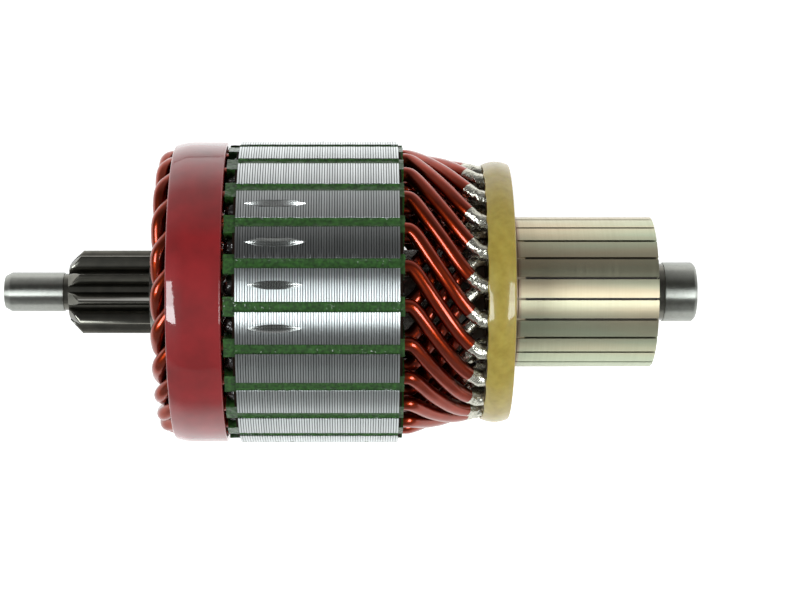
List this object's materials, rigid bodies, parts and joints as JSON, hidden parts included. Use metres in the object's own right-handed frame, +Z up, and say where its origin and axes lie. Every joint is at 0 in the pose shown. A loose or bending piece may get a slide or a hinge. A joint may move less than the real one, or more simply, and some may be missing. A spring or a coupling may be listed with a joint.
{
  "type": "starter motor armature",
  "caption": "Wound rotor of a gear-reduction starter motor: laminated core with a hairpin winding, barrel commutator, resin bands and a sun gear on its shaft.",
  "frame": {"origin": "middle of the commutator-end journal, on the shaft's axis", "axes": "+X along the shaft, from the gear towards the commutator end; +Z up"},
  "size_m": [0.1397, 0.061, 0.061],
  "materials": {
    "hardened_steel": "ground journals, gear left black from hardening",
    "core_steel": "stamped sheets, turned on the outside",
    "fibre_sheet": "dark varnished fibre",
    "slot_paper": "green insulating paper, varnished",
    "enamelled_copper": "round copper wire under red-brown enamel",
    "solder": "tin solder, lumpy and bright",
    "commutator_copper": "turned copper",
    "phenolic": "moulded phenolic",
    "red_band": "cured resin over glass tape",
    "yellow_band": "cured resin over glass tape"
  },
  "bodies": {
    "root": {"shaft": "hardened_steel", "core": "core_steel", "drive_end_insulator": "fibre_sheet", "commutator_end_insulator": "fibre_sheet", "slot_liners": "slot_paper", "lead_solder": "solder", "commutator_moulding": "phenolic", "drive_end_band": "red_band", "riser_band": "yellow_band", "coil_01": "enamelled_copper", "coil_02": "enamelled_copper", "coil_03": "enamelled_copper", "coil_04": "enamelled_copper", "coil_05": "enamelled_copper", "coil_06": "enamelled_copper", "coil_07": "enamelled_copper", "coil_08": "enamelled_copper", "coil_09": "enamelled_copper", "coil_10": "enamelled_copper", "coil_11": "enamelled_copper", "coil_12": "enamelled_copper", "coil_13": "enamelled_copper", "coil_14": "enamelled_copper", "coil_15": "enamelled_copper", "coil_16": "enamelled_copper", "coil_17": "enamelled_copper", "coil_18": "enamelled_copper", "coil_19": "enamelled_copper", "coil_20": "enamelled_copper", "coil_21": "enamelled_copper", "coil_22": "enamelled_copper", "coil_23": "enamelled_copper", "commutator_bar_01": "commutator_copper", "commutator_bar_02": "commutator_copper", "commutator_bar_03": "commutator_copper", "commutator_bar_04": "commutator_copper", "commutator_bar_05": "commutator_copper", "commutator_bar_06": "commutator_copper", "commutator_bar_07": "commutator_copper", "commutator_bar_08": "commutator_copper", "commutator_bar_09": "commutator_copper", "commutator_bar_10": "commutator_copper", "commutator_bar_11": "commutator_copper", "commutator_bar_12": "commutator_copper", "commutator_bar_13": "commutator_copper", "commutator_bar_14": "commutator_copper", "commutator_bar_15": "commutator_copper", "commutator_bar_16": "commutator_copper", "commutator_bar_17": "commutator_copper", "commutator_bar_18": "commutator_copper", "commutator_bar_19": "commutator_copper", "commutator_bar_20": "commutator_copper", "commutator_bar_21": "commutator_copper", "commutator_bar_22": "commutator_copper", "commutator_bar_23": "commutator_copper"}
  },
  "joints": []
}
